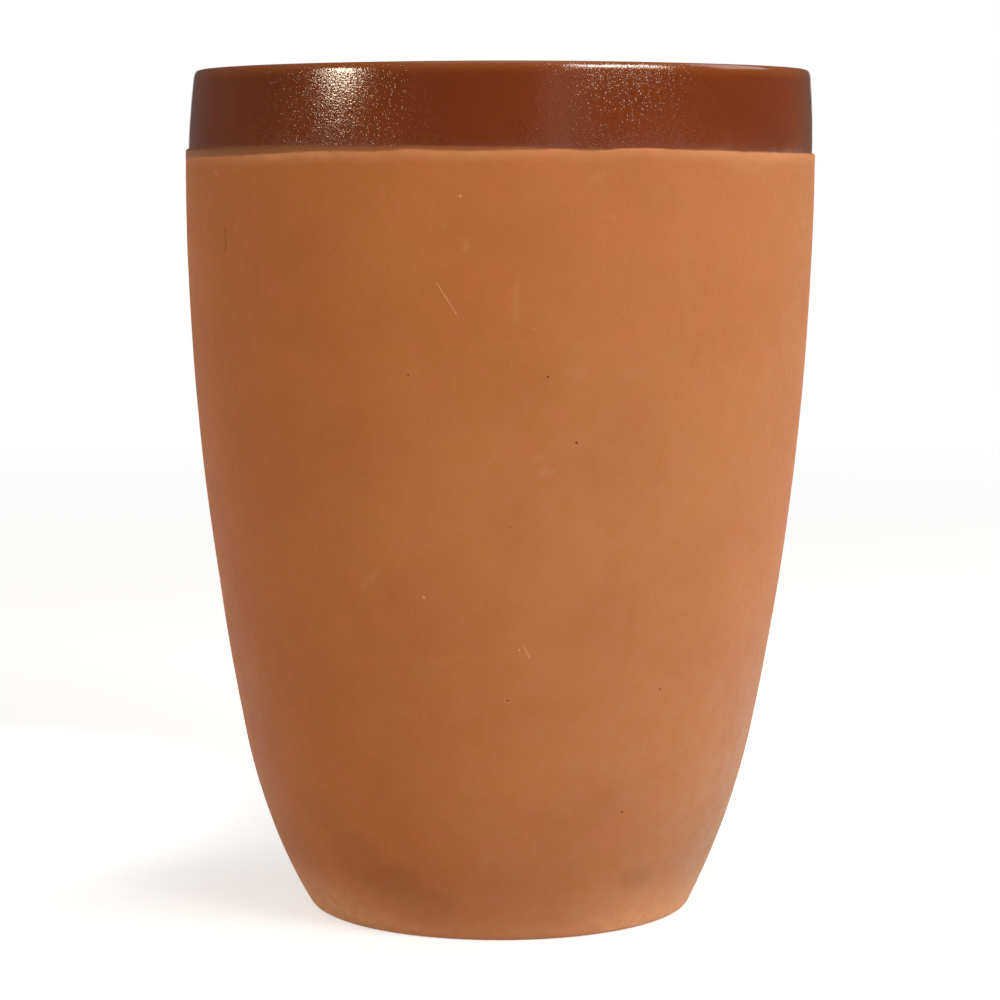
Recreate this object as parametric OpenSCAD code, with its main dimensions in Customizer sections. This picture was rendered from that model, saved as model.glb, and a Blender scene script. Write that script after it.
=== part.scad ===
// Clay cantarito cup: a turned terracotta tumbler with a recessed lip,
// one coat of glaze over that lip and another lining the inside.
// Millimetres, +Z up, origin at the middle of the standing face.

/* [Cup] */
// Height from the standing face to the top of the glazed rim
cup_height = 130; // [115:1:150]
// Diameter of the belly, which is widest at the shoulder
belly_diameter = 97.5; // [86:0.5:112]
// Outer diameter of the flat standing face
foot_diameter = 56.8; // [46:0.2:66]

/* [Wall] */
// Height at which the long belly curve hands over to the hip curve
hip_height = 27.5; // [22:0.5:36]
// Radius of the hip curve, which draws the wall in to the foot
hip_curve = 98; // [80:1:120]
// Radius of the rounded heel between the wall and the standing face
heel_radius = 2; // [1:0.1:4]
// Thickness of the clay wall
wall = 5; // [3.6:0.1:6.4]
// Thickness of the clay floor above the standing face
floor_thickness = 7; // [5:0.1:9]
// Radius of the clay cove between the floor and the wall inside
cove_radius = 14; // [6:0.5:16]

/* [Underside] */
// Diameter of the shallow dish in the underside
dish_diameter = 42; // [30:0.5:46]
// Depth of that dish at its middle
dish_depth = 1.2; // [0.6:0.1:2]

/* [Lip] */
// Height of the lip above the shoulder's edge
lip_height = 13.2; // [9:0.1:20]
// Height of the bare clay bevel between the shoulder's edge and the glaze
bevel_height = 0.9; // [0.4:0.1:2]
// Width of that bevel, from the belly in to the glaze
bevel_width = 0.35; // [0.2:0.05:0.8]
// How far the outside of the glaze leans in from its lower edge to the rim
lip_taper = 0.7; // [0.3:0.05:1.2]
// Radius of the rim's outer edge, measured over the glaze
rim_outer_radius = 0.8; // [0.7:0.05:1.4]
// Radius of the rim's inner edge, measured over the glaze
rim_inner_radius = 1.8; // [0.8:0.05:2.2]

/* [Glaze] */
// Thickness of the glaze, on the lip and inside
glaze = 0.4; // [0.2:0.05:0.6]

/* [Hidden] */

clay_colour = "#BC7545";
rim_colour = "#6E3018";
lining_colour = "#7D3A1E";

// Steps of the turning about Z, and the longest and widest step along a curve of the section
turn_steps = 180;
curve_step = 2.5;
curve_angle = 9;

belly_r = belly_diameter / 2;
foot_r = foot_diameter / 2;
dish_r = dish_diameter / 2;
shoulder_z = cup_height - lip_height;
glaze_z = shoulder_z + bevel_height;
belly_drop = shoulder_z - hip_height;

// The wall is a chain of arcs, upright at the shoulder and tangent at each joint: belly, hip, heel.
// One lean of the wall at the hip makes the hip curve also touch the heel, and halving steps find it.
heel_centre = [foot_r, heel_radius];
steepest_lean = 60;
hip_lean = lean_between(0, steepest_lean);
belly_curve = belly_drop / sin(hip_lean);
belly_centre = [belly_r - belly_curve, shoulder_z];
hip_centre = hip_centre_at(hip_lean);

// Inside, the cove touches the floor and the hip curve, which is one wall thickness further in
cove_z = floor_thickness + cove_radius;
cove_reach = hip_curve - wall - cove_radius;
cove_centre = [hip_centre.x + sqrt(cove_reach ^ 2 - (hip_centre.y - cove_z) ^ 2), cove_z];

// The lip is measured over its glaze: the mouth inside, and the outside at its foot and at its top
mouth_r = belly_r - wall - glaze;
lip_base_r = belly_r - bevel_width;
lip_top_r = lip_base_r - lip_taper;
outer_edge = [lip_top_r - rim_outer_radius, cup_height - rim_outer_radius];
inner_edge = [mouth_r + rim_inner_radius, cup_height - rim_inner_radius];

// The dish is part of a sphere, which meets the standing face at this angle
dish_curve = (dish_r ^ 2 + dish_depth ^ 2) / (2 * dish_depth);
dish_angle = asin(dish_r / dish_curve);

// Centre of the hip curve when the wall leans by this angle where it leaves the belly curve
function hip_centre_at(lean) =
    [belly_r - belly_drop * tan(lean / 2), hip_height] + hip_curve * [-cos(lean), sin(lean)];

// How far the hip curve at this lean passes inside the heel, negative where it passes outside
function heel_miss(lean) = norm(hip_centre_at(lean) - heel_centre) - (hip_curve - heel_radius);

// Lean between two bounds at which the hip curve touches the heel
function lean_between(low, high, halvings = 40) =
    let (middle = (low + high) / 2)
    halvings == 0 ? middle
    : heel_miss(middle) < 0 ? lean_between(middle, high, halvings - 1)
    : lean_between(low, middle, halvings - 1);

// Bearing of one point from another, in degrees from the outward direction
function bearing(from, to) = atan2(to.y - from.y, to.x - from.x);

function reversed(points) = [for (i = [len(points) - 1 : -1 : 0]) points[i]];

// Points along an arc between two bearings, without the point that it starts from
function arc(centre, radius, from, to) =
    let (turn = abs(to - from))
    let (steps = ceil(max(turn / curve_angle, radius * turn * PI / 180 / curve_step)))
    [for (i = [1 : steps])
        let (angle = from + (to - from) * i / steps)
        centre + radius * [cos(angle), sin(angle)]];

// Wall from the flat bottom up to the shoulder, at a depth inside the outer wall,
// with the bottom's corner rounded about the given centre
function turned_wall(inset, corner_centre, corner_radius) =
    let (corner_lean = bearing(hip_centre, corner_centre))
    concat(
        [corner_centre - [0, corner_radius]],
        arc(corner_centre, corner_radius, -90, corner_lean),
        arc(hip_centre, hip_curve - inset, corner_lean, -hip_lean),
        arc(belly_centre, belly_curve - inset, -hip_lean, 0)
    );

outer_wall = turned_wall(0, heel_centre, heel_radius);

// Inside of the cup at a depth of glaze over its clay
function inner_wall(coat) = turned_wall(wall + coat, cove_centre, cove_radius - coat);

// Lip from the top of the bevel outside, over the rim and down to the shoulder's height inside,
// at a depth inside the surface of its glaze
function lip_outline(inset) =
    concat(
        [[lip_base_r - inset, glaze_z], [lip_top_r - inset, outer_edge.y]],
        arc(outer_edge, rim_outer_radius - inset, 0, 90),
        [[inner_edge.x, cup_height - inset]],
        arc(inner_edge, rim_inner_radius - inset, 90, 180),
        [[mouth_r + inset, shoulder_z]]
    );

// Underside from the axis out to the standing ring
underside = concat(
    [[0, dish_depth]],
    arc([0, dish_depth - dish_curve], dish_curve, 90, 90 - dish_angle)
);

// Turns a closed outline of radii and heights about the cup's axis
module turned(outline) {
    rotate_extrude($fn = turn_steps) polygon(outline);
}

// Fired clay cup with its wall, floor, standing ring, bevelled shoulder and a lip cut back for its glaze
module clay_body() {
    color(clay_colour)
        turned(concat(
            underside,
            outer_wall,
            [[lip_base_r, glaze_z]],
            lip_outline(glaze),
            reversed(inner_wall(0)),
            [[0, floor_thickness]]
        ));
}

// Coat of glaze over the lip, from the bevel up, over the rim and down inside to the shoulder's height
module rim_glaze() {
    color(rim_colour) turned(concat(lip_outline(0), reversed(lip_outline(glaze))));
}

// Coat of glaze over the inside, from the floor up to the rim's own coat
module lining_glaze() {
    color(lining_colour)
        turned(concat(
            [[0, floor_thickness]],
            inner_wall(0),
            reversed(inner_wall(glaze)),
            [[0, floor_thickness + glaze]]
        ));
}

clay_body();
rim_glaze();
lining_glaze();
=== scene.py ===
import math

import bmesh
import bpy
import numpy as np
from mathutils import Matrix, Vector, noise


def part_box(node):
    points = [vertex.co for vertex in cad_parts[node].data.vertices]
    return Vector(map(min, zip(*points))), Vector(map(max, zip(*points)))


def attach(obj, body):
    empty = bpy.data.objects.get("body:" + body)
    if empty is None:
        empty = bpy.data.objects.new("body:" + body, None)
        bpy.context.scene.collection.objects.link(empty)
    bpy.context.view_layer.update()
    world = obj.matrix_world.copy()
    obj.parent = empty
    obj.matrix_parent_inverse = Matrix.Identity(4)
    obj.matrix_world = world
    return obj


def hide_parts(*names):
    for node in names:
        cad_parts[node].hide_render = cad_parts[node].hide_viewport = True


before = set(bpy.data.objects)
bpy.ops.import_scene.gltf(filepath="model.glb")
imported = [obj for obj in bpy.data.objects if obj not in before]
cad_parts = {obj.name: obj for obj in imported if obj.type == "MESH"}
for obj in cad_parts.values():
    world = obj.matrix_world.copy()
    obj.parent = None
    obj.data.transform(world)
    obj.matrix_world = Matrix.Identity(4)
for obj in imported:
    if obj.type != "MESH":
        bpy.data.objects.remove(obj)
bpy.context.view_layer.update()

# Sizes of the cup, in metres, as in its solids
MM = 0.001
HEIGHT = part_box("rim_glaze")[1].z
FOOT_R = 28.9 * MM
HIP_HEIGHT = 27.5 * MM
HIP_CURVE = 98 * MM
HEEL_RADIUS = 1.25 * MM
WALL = 5 * MM
FLOOR_THICKNESS = 7 * MM
COVE_RADIUS = 14 * MM
DISH_R = 21 * MM
DISH_DEPTH = 1.2 * MM
LIP_HEIGHT = 13.2 * MM
BEVEL_HEIGHT = 0.9 * MM
BEVEL_WIDTH = 0.42 * MM
RIM_INNER_RADIUS = 1.8 * MM
GLAZE = 0.4 * MM

# Smaller forms than the solids have: the ledge below the glaze, how the lip leans in towards the rim,
# and the rim's outer edge, which is rounded more upwards than across
LEDGE_HEIGHT = 0.25 * MM
LIP_CROWN = 1.8
RIM_TILT = math.radians(5.6)
RIM_ACROSS = 0.6 * MM
RIM_UP = 1.6 * MM

# The cup stays a hair inside the box of its solids, so that its uneven wall never leaves it
UNEVENNESS = 0.12 * MM
BELLY_R = min(abs(side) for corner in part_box("clay_body") for side in corner[:2]) - UNEVENNESS
SHOULDER_Z = HEIGHT - LIP_HEIGHT
GLAZE_Z = SHOULDER_Z + BEVEL_HEIGHT
BELLY_DROP = SHOULDER_Z - HIP_HEIGHT
HEEL_CENTRE = np.array([FOOT_R, HEEL_RADIUS])
MOUTH_R = BELLY_R - WALL - GLAZE
LIP_BASE_R = BELLY_R - BEVEL_WIDTH
RIM_START = math.atan(math.tan(RIM_TILT) * RIM_UP / RIM_ACROSS)
LIP_TOP_Z = HEIGHT - RIM_UP * (1 - math.sin(RIM_START))
LIP_LEAN = math.tan(RIM_TILT) * (LIP_TOP_Z - GLAZE_Z) / LIP_CROWN
OUTER_EDGE = np.array([LIP_BASE_R - LIP_LEAN - RIM_ACROSS * math.cos(RIM_START), HEIGHT - RIM_UP])
INNER_EDGE = np.array([MOUTH_R + RIM_INNER_RADIUS, HEIGHT - RIM_INNER_RADIUS])

# Columns of each turned mesh, and steps along its section where it shows and where it is covered
CLAY_COLUMNS = 384
GLAZE_COLUMNS = 900
LINING_COLUMNS = 400
DISH_STEP = 0.6 * MM
FOOT_STEP = 1.5 * MM
HEEL_STEP = 0.5 * MM
WALL_STEP = 1 * MM
EDGE_STEP = 0.2 * MM
LIP_STEP = 0.4 * MM
LINING_STEP = 0.9 * MM
COVE_STEP = 1.5 * MM
HIDDEN_STEP = 6 * MM
HIDDEN_LIP_STEP = 3 * MM
HIDDEN_RIM_STEP = 1 * MM
SAME_POINT = 1e-7


# The turned section: radii and heights

STEEPEST_LEAN = math.radians(60)
HALVINGS = 40


def hip_centre_at(lean):
    """Centre of the hip curve when the wall leans by this angle where it leaves the belly curve."""
    start = np.array([BELLY_R - BELLY_DROP * math.tan(lean / 2), HIP_HEIGHT])
    return start + HIP_CURVE * np.array([-math.cos(lean), math.sin(lean)])


def lean_at_hip():
    """Lean of the wall at the hip with which the hip curve also touches the heel, by halving."""
    low, high = 0, STEEPEST_LEAN
    for _ in range(HALVINGS):
        lean = (low + high) / 2
        reach = np.linalg.norm(hip_centre_at(lean) - HEEL_CENTRE)
        if reach < HIP_CURVE - HEEL_RADIUS:
            low = lean
        else:
            high = lean
    return lean


HIP_LEAN = lean_at_hip()
HIP_CENTRE = hip_centre_at(HIP_LEAN)
BELLY_CURVE = BELLY_DROP / math.sin(HIP_LEAN)
BELLY_CENTRE = np.array([BELLY_R - BELLY_CURVE, SHOULDER_Z])
COVE_Z = FLOOR_THICKNESS + COVE_RADIUS
COVE_REACH = HIP_CURVE - WALL - COVE_RADIUS
COVE_ASIDE = math.sqrt(COVE_REACH ** 2 - (HIP_CENTRE[1] - COVE_Z) ** 2)
COVE_CENTRE = np.array([HIP_CENTRE[0] + COVE_ASIDE, COVE_Z])


def line(start, end, step):
    """Points from start to end, both included."""
    start, end = np.array(start, float), np.array(end, float)
    count = max(1, math.ceil(np.linalg.norm(end - start) / step))
    return start + np.linspace(0, 1, count + 1)[:, None] * (end - start)


def oval(centre, across, up, start, end, step):
    """Points along an oval with these half widths between two bearings, both ends included."""
    count = max(2, math.ceil(abs(end - start) * max(across, up) / step))
    bearings = np.linspace(start, end, count + 1)
    return np.array(centre) + np.column_stack([across * np.cos(bearings), up * np.sin(bearings)])


def arc(centre, radius, start, end, step):
    return oval(centre, radius, radius, start, end, step)


def joined(*runs):
    """One run of points from several that meet end to end."""
    points = np.vstack(runs)
    apart = np.linalg.norm(np.diff(points, axis=0), axis=1) > SAME_POINT
    return points[np.concatenate([[True], apart])]


def bearing(centre, point):
    return math.atan2(point[1] - centre[1], point[0] - centre[0])


def turned_wall(inset, corner_centre, corner_radius, step, corner_step):
    """Wall from the flat bottom up to the shoulder, at a depth inside the outer wall."""
    corner_lean = bearing(HIP_CENTRE, corner_centre)
    return joined(
        arc(corner_centre, corner_radius, -math.pi / 2, corner_lean, corner_step),
        arc(HIP_CENTRE, HIP_CURVE - inset, corner_lean, -HIP_LEAN, step),
        arc(BELLY_CENTRE, BELLY_CURVE - inset, -HIP_LEAN, 0, step),
    )


def inner_wall(coat, step):
    """Inside of the cup at a depth of glaze over its clay, from the axis up to the shoulder's height."""
    corner_radius = COVE_RADIUS - coat
    wall = turned_wall(WALL + coat, COVE_CENTRE, corner_radius, step, min(step, COVE_STEP))
    return joined(line((0, FLOOR_THICKNESS + coat), wall[0], step), wall)


def lip_side(inset, start_z, step):
    """Outside of the lip, upright at its foot and leaning in more towards the rim."""
    heights = line((0, start_z), (0, LIP_TOP_Z - inset * math.sin(RIM_START)), step)[:, 1]
    share = np.maximum(heights - GLAZE_Z, 0) / (LIP_TOP_Z - GLAZE_Z)
    return np.column_stack([LIP_BASE_R - inset - LIP_LEAN * share ** LIP_CROWN, heights])


def rim_over(inset, step):
    """The rim from its outer edge over the top and down inside to the shoulder's height."""
    return joined(
        oval(OUTER_EDGE, RIM_ACROSS - inset, RIM_UP - inset, RIM_START, math.pi / 2, step),
        arc(INNER_EDGE, RIM_INNER_RADIUS - inset, math.pi / 2, math.pi, step),
        line((MOUTH_R + inset, INNER_EDGE[1]), (MOUTH_R + inset, SHOULDER_Z), 2 * step),
    )


# The uneven cup: how far the real one strays from a perfectly turned one

# Angles are seen from above, 0 towards the camera and growing to the right, in degrees. The glaze's lower
# edge and the rim stand higher by these millimetres, and the edge has a small wave besides
GLAZE_LINE = [
    (-160, 0.05), (-110, 0.30), (-75, 0.40), (-55, 0.50), (-38, 0.55), (-26, 0.46), (-15, 0.42),
    (-5, 0.36), (5, 0.28), (10, 0.10), (21, 0.09), (26, 0.15), (32, 0.01), (39, 0.03), (46, -0.24),
    (55, -0.33), (73, -0.37), (120, -0.20), (150, 0),
]
RIM_LEVEL = [
    (-150, -0.06), (-90, -0.11), (-30, -0.07), (5, -0.015), (35, -0.07), (90, -0.02), (140, -0.08),
]
EDGE_RIPPLE = 0.015
EDGE_RIPPLE_ORDERS = (37, 61, 89, 127)
LINE_REACH_BELOW = 7 * MM
LINE_REACH_ABOVE = 5 * MM

# How far the cup's middle lies to the right at each height, in millimetres, and how far it is from round:
# the share by which it is narrower, and where round the cup
CENTRE_LINE = [
    (0, 0), (4, -0.2), (10, -0.36), (21, -0.37), (35, -0.28), (52, -0.12), (75, -0.12), (100, -0.07),
    (117, 0.06), (130, 0.34),
]
OVAL, OVAL_TURN = 0.0008, 0.7


def through(points, angles):
    """Smooth periodic curve through (angle in degrees, value) points, at angles in radians."""
    points = np.array(sorted(points), float)
    knots = np.concatenate([points[-2:, 0] - 360, points[:, 0], points[:2, 0] + 360])
    values = np.concatenate([points[-2:, 1], points[:, 1], points[:2, 1]])
    degrees = (np.degrees(angles) - points[0, 0]) % 360 + points[0, 0]
    k = np.searchsorted(knots, degrees, side="right") - 1
    slopes = np.gradient(values, knots)
    span = knots[k + 1] - knots[k]
    t = (degrees - knots[k]) / span
    rise = values[k + 1] - values[k]
    ease = t * t * (3 - 2 * t)
    return (
        values[k]
        + rise * ease
        + span * (slopes[k] * t * (1 - t) ** 2 - slopes[k + 1] * t * t * (1 - t))
    )


def eased(value):
    """Share from 0 to 1 that starts and ends softly."""
    value = np.clip(value, 0, 1)
    return value * value * (3 - 2 * value)


def glaze_line(angles):
    """How much higher the glaze's lower edge is than it should be, in millimetres."""
    wave = sum(np.sin(order * angles + order) for order in EDGE_RIPPLE_ORDERS)
    return through(GLAZE_LINE, angles) + EDGE_RIPPLE * wave


def lift(heights, angles):
    """How much higher the glaze's lower edge and the rim stand than they should."""
    edge = MM * glaze_line(angles)
    rim = MM * through(RIM_LEVEL, angles)
    up_to_edge = eased((heights - GLAZE_Z) / LINE_REACH_BELOW + 1)
    up_to_rim = eased((heights - GLAZE_Z) / LINE_REACH_ABOVE)
    return np.where(heights < GLAZE_Z, edge * up_to_edge, edge + (rim - edge) * up_to_rim)


def placed(radii, heights, angles):
    """Points at these radii, heights and angles, on the uneven cup."""
    knots = np.array(CENTRE_LINE)
    aside = MM * np.interp(heights, MM * knots[:, 0], knots[:, 1])
    round_share = 1 - OVAL * (1 - np.cos(2 * angles + OVAL_TURN)) / 2
    return np.stack(
        [
            radii * round_share * np.sin(angles) + aside,
            -radii * round_share * np.cos(angles),
            heights + lift(heights, angles),
        ],
        axis=-1,
    )


# Meshes

SEED_STRIDES = (17.3, 7.1, 3.7)


def columns_of(count):
    """Angles of the columns of a turned mesh, one to a row."""
    return np.linspace(-math.pi, math.pi, count, endpoint=False)[:, None]


def turned(section, angles):
    """Grid of the points of a section at each angle."""
    return placed(section[None, :, 0], section[None, :, 1], angles)


def section_normals(section):
    """Unit normals of a section, on its right-hand side as it is walked."""
    along = np.gradient(section, axis=0)
    along /= np.linalg.norm(along, axis=1)[:, None]
    return np.column_stack([along[:, 1], -along[:, 0]])


def pushed(points, section, angles, amounts):
    """Points of a turned section moved out along its normals by these amounts."""
    normals = section_normals(section)
    outward = amounts * normals[:, 0]
    upward = amounts * normals[:, 1] + 0 * angles
    return points + np.stack([outward * np.sin(angles), -outward * np.cos(angles), upward], axis=-1)


def waves(points, size, seed):
    """Smooth noise from -1 to 1 at a grid of points, with features of about this size."""
    offset = Vector([seed * stride for stride in SEED_STRIDES])
    values = [noise.noise(Vector(point) / size + offset) for point in points.reshape(-1, 3)]
    return np.array(values).reshape(points.shape[:2])


def ripples(points, kinds):
    """Uneven heights at a grid of points, from kinds with a height and size in millimetres and a seed."""
    return sum(height * MM * waves(points, size * MM, seed) for height, size, seed in kinds)


def mesh_object(name, vertices, faces, material):
    mesh = bpy.data.meshes.new(name)
    mesh.from_pydata(vertices.tolist(), [], faces)
    mesh.update()
    mesh.shade_smooth()
    mesh.materials.append(material)
    piece = bpy.data.objects.new(name, mesh)
    bpy.context.scene.collection.objects.link(piece)
    return piece


def grid_faces(columns, rows, closed):
    """Quads of a grid that closes round its columns, and along its rows too where it is closed."""
    row_numbers = np.arange(rows if closed else rows - 1)
    column, row = np.meshgrid(np.arange(columns), row_numbers, indexing="ij")
    after, up = (column + 1) % columns, (row + 1) % rows
    corners = [column * rows + row, after * rows + row, after * rows + up, column * rows + up]
    return np.stack(corners, axis=-1).reshape(-1, 4).tolist()


def ring_mesh(name, points, material):
    """Closed mesh of a section that goes all round, at each column."""
    columns, rows = points.shape[:2]
    return mesh_object(name, points.reshape(-1, 3), grid_faces(columns, rows, True), material)


def vessel_mesh(name, points, material):
    """Closed mesh of a section that starts and ends on the axis, at each column."""
    columns, rows = points.shape[:2]
    middle = points[:, 1:-1]
    inner_rows = rows - 2
    faces = grid_faces(columns, inner_rows, False)
    ends = [points[:, 0].mean(axis=0), points[:, -1].mean(axis=0)]
    first, last = columns * inner_rows, columns * inner_rows + 1
    for column in range(columns):
        after = (column + 1) % columns
        faces.append([first, after * inner_rows, column * inner_rows])
        faces.append([last, (column + 1) * inner_rows - 1, (after + 1) * inner_rows - 1])
    return mesh_object(name, np.vstack([middle.reshape(-1, 3), ends]), faces, material)


def coordinates(piece):
    flat = np.empty(len(piece.data.vertices) * 3)
    piece.data.vertices.foreach_get("co", flat)
    return flat.reshape(-1, 3)


def set_attribute(piece, name, values):
    layer = piece.data.attributes.new(name, "FLOAT", "POINT")
    layer.data.foreach_set("value", np.asarray(values, np.float32))


# Materials

class Graph:
    """A material or world with short words for the nodes that it uses."""

    def __init__(self, tree):
        self.nodes, self.links = tree.nodes, tree.links
        self.place = self.node("ShaderNodeTexCoord").outputs["Object"]

    def node(self, kind, **settings):
        made = self.nodes.new(kind)
        for key, value in settings.items():
            setattr(made, key, value)
        return made

    def feed(self, socket, value):
        if isinstance(value, bpy.types.NodeSocket):
            self.links.new(value, socket)
        else:
            socket.default_value = value

    def noise(self, size, detail=2.0, roughness=0.5):
        made = self.node("ShaderNodeTexNoise")
        self.links.new(self.place, made.inputs["Vector"])
        made.inputs["Scale"].default_value = 1 / size
        made.inputs["Detail"].default_value = detail
        made.inputs["Roughness"].default_value = roughness
        return made.outputs["Fac"]

    def cells(self, size):
        made = self.node("ShaderNodeTexVoronoi")
        self.links.new(self.place, made.inputs["Vector"])
        made.inputs["Scale"].default_value = 1 / size
        return made

    def attribute(self, name):
        return self.node("ShaderNodeAttribute", attribute_name=name).outputs["Fac"]

    def ranged(self, value, low, high, to_low=0.0, to_high=1.0, interpolation="SMOOTHSTEP"):
        made = self.node("ShaderNodeMapRange", interpolation_type=interpolation)
        self.links.new(value, made.inputs["Value"])
        limits = {"From Min": low, "From Max": high, "To Min": to_low, "To Max": to_high}
        for key, number in limits.items():
            made.inputs[key].default_value = number
        return made.outputs["Result"]

    def math(self, operation, first, second):
        made = self.node("ShaderNodeMath", operation=operation)
        self.feed(made.inputs[0], first)
        self.feed(made.inputs[1], second)
        return made.outputs["Value"]

    def mixed(self, share, first, second):
        made = self.node("ShaderNodeMix", data_type="RGBA")
        self.feed(made.inputs["Factor"], share)
        self.feed(made.inputs["A"], first)
        self.feed(made.inputs["B"], second)
        return made.outputs["Result"]

    def bump(self, height, depth, normal=None, strength=1.0):
        made = self.node("ShaderNodeBump")
        made.inputs["Distance"].default_value = depth
        self.links.new(height, made.inputs["Height"])
        self.feed(made.inputs["Strength"], strength)
        if normal:
            self.links.new(normal, made.inputs["Normal"])
        return made.outputs["Normal"]


def new_material(name, finish):
    """Material with these values on its shader."""
    material = bpy.data.materials.new(name)
    material.use_nodes = True
    shader = material.node_tree.nodes["Principled BSDF"]
    for key, value in finish.items():
        shader.inputs[key].default_value = value
    return material, Graph(material.node_tree), shader


def colour(red, green, blue):
    """Linear colour from the usual 0 to 255 values."""
    def linear(value):
        share = value / 255
        return share / 12.92 if share <= 0.04045 else ((share + 0.055) / 1.055) ** 2.4
    return (linear(red), linear(green), linear(blue), 1)


# Parts of a noise's range over which most of it changes
NOISE_MIDDLE = (0.3, 0.7)
NOISE_WIDE = (0.25, 0.75)

# Fired clay: its two main tones with the size and detail of their clouds, then the pink and ochre mottling
# and the grain, each with a size in millimetres, a detail, the range of noise where it comes in, a share
# and a tone
CLAY_TONES = (180, 103, 48), (187, 110, 53)
CLAY_CLOUDS, CLAY_CLOUD_DETAIL = 16 * MM, 3
MOTTLING = [
    (5, 3, (0.5, 0.72), 0.4, (194, 104, 64)),
    (6.5, 2, (0.54, 0.74), 0.4, (180, 112, 48)),
    (0.4, 2, (0.35, 0.75), 0.2, (164, 86, 40)),
]

# Pale specks, one to some of the clay's grains: how far out they reach, which grains have one, and
# their share
SPECK_GRAINS = 1.9 * MM
SPECK_EDGE = (0.12, 0.04)
SPECK_PICK = (0.6, 0.85)
SPECK_SHARE = 0.3
SPECK_TONE = (208, 150, 104)

# Haze with painted sheen, worn clay with painted light, film of glaze, stains with painted shade, and
# painted
# shade in hollows: their tones, and how the first two are broken up
HAZE_AND_SHEEN_TONE = (194, 158, 126)
HAZE_AND_SHEEN_CLOUDS, HAZE_AND_SHEEN_SHARES = 3 * MM, (0.6, 1.4)
WEAR_AND_LIGHT_TONE = (236, 170, 122)
WEAR_AND_LIGHT_CLOUDS, WEAR_AND_LIGHT_RANGE, WEAR_AND_LIGHT_SHARES = 2 * MM, (0.25, 0.7), (0.7, 1.0)
BROKEN_DETAIL = 3
FILM_TONE = (122, 68, 32)
STAIN_AND_SHADE_TONE = (104, 60, 34)
# Painted shade in pits and cracks
HOLLOW_SHADE_TONE = (108, 48, 20)
HOLLOW_SHADE_RANGE = (0.1, 0.9)

# The clay's finish: how rough it is and how much smoother under a film of glaze, and two reliefs, each with
# the size in millimetres, detail and roughness of its noise and a depth in millimetres
CLAY_FINISH = {
    "Specular IOR Level": 0.3,
    "Sheen Weight": 0.05,
    "Sheen Roughness": 0.5,
    "Sheen Tint": (1, 0.8, 0.62, 1),
}
CLAY_ROUGHNESS = (0.62, 0.78)
ROUGH_CLOUDS, ROUGH_DETAIL = 1.2 * MM, 3
FILM_SMOOTHING = 0.2
CLAY_BUMPS = [(2.5, 3, 0.5, 0.04), (0.28, 3, 0.6, 0.025)]


def terracotta():
    """Matte fired clay: pink and ochre mottling, grain and specks, with pale haze and painted sheen, worn
    places and painted light, the film of glaze below the lip, dark stains and painted shade, and painted
    shade in hollows, where the piece says so."""
    material, g, shader = new_material("terracotta", CLAY_FINISH)
    clouds = g.noise(CLAY_CLOUDS, CLAY_CLOUD_DETAIL)
    tone = g.mixed(g.ranged(clouds, *NOISE_MIDDLE), *(colour(*main) for main in CLAY_TONES))
    for size, detail, span, share, tint in MOTTLING:
        tone = g.mixed(g.ranged(g.noise(size * MM, detail), *span, 0, share), tone, colour(*tint))
    grains = g.cells(SPECK_GRAINS)
    near_middle = g.ranged(grains.outputs["Distance"], *SPECK_EDGE)
    picked = g.ranged(grains.outputs["Color"], *SPECK_PICK, 0, SPECK_SHARE)
    tone = g.mixed(g.math("MULTIPLY", near_middle, picked), tone, colour(*SPECK_TONE))
    # Pale haze, partly painted sheen of light from the right and from the floor
    broken = g.ranged(g.noise(HAZE_AND_SHEEN_CLOUDS, BROKEN_DETAIL), *NOISE_WIDE, *HAZE_AND_SHEEN_SHARES, "LINEAR")
    tone = g.mixed(g.math("MULTIPLY", g.attribute("haze_and_sheen"), broken), tone, colour(*HAZE_AND_SHEEN_TONE))
    # Worn clay, partly painted light from the floor on the heel and a painted highlight along the
    # shoulder's edge
    broken = g.ranged(g.noise(WEAR_AND_LIGHT_CLOUDS, BROKEN_DETAIL), *WEAR_AND_LIGHT_RANGE, *WEAR_AND_LIGHT_SHARES)
    tone = g.mixed(g.math("MULTIPLY", g.attribute("wear_and_light"), broken), tone, colour(*WEAR_AND_LIGHT_TONE))
    film = g.attribute("film")
    tone = g.mixed(film, tone, colour(*FILM_TONE))
    # Stains, and painted shade low on the wall
    tone = g.mixed(g.attribute("stain_and_shade"), tone, colour(*STAIN_AND_SHADE_TONE))
    # Painted shade in pits and cracks
    tone = g.mixed(g.ranged(g.attribute("hollow"), *HOLLOW_SHADE_RANGE), tone, colour(*HOLLOW_SHADE_TONE))
    g.links.new(tone, shader.inputs["Base Color"])
    roughness = g.ranged(g.noise(ROUGH_CLOUDS, ROUGH_DETAIL), *NOISE_WIDE, *CLAY_ROUGHNESS)
    smoothing = g.math("MULTIPLY", film, FILM_SMOOTHING)
    g.links.new(g.math("SUBTRACT", roughness, smoothing), shader.inputs["Roughness"])
    normal = None
    for size, detail, rough, depth in CLAY_BUMPS:
        normal = g.bump(g.noise(size * MM, detail, rough), depth * MM, normal)
    g.links.new(normal, shader.inputs["Normal"])
    return material


# Glaze: its dark and light tones, its tone where it is thin and its tone where it is washed out. The film
# value of a point says how thin it is there, and at half the thin tone is full
RIM_TONES = (113, 47, 6), (121, 52, 9), (142, 73, 26), (176, 98, 48)
LINING_TONES = (108, 43, 5), (122, 54, 11), (140, 72, 28), (166, 96, 54)
GLAZE_CLOUDS = 12 * MM
GLAZE_GRAIN, GLAZE_GRAIN_RANGE, GLAZE_GRAIN_SHARE = 0.7 * MM, (0.55, 0.8), 0.3
HALF_THIN = 0.5

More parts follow.
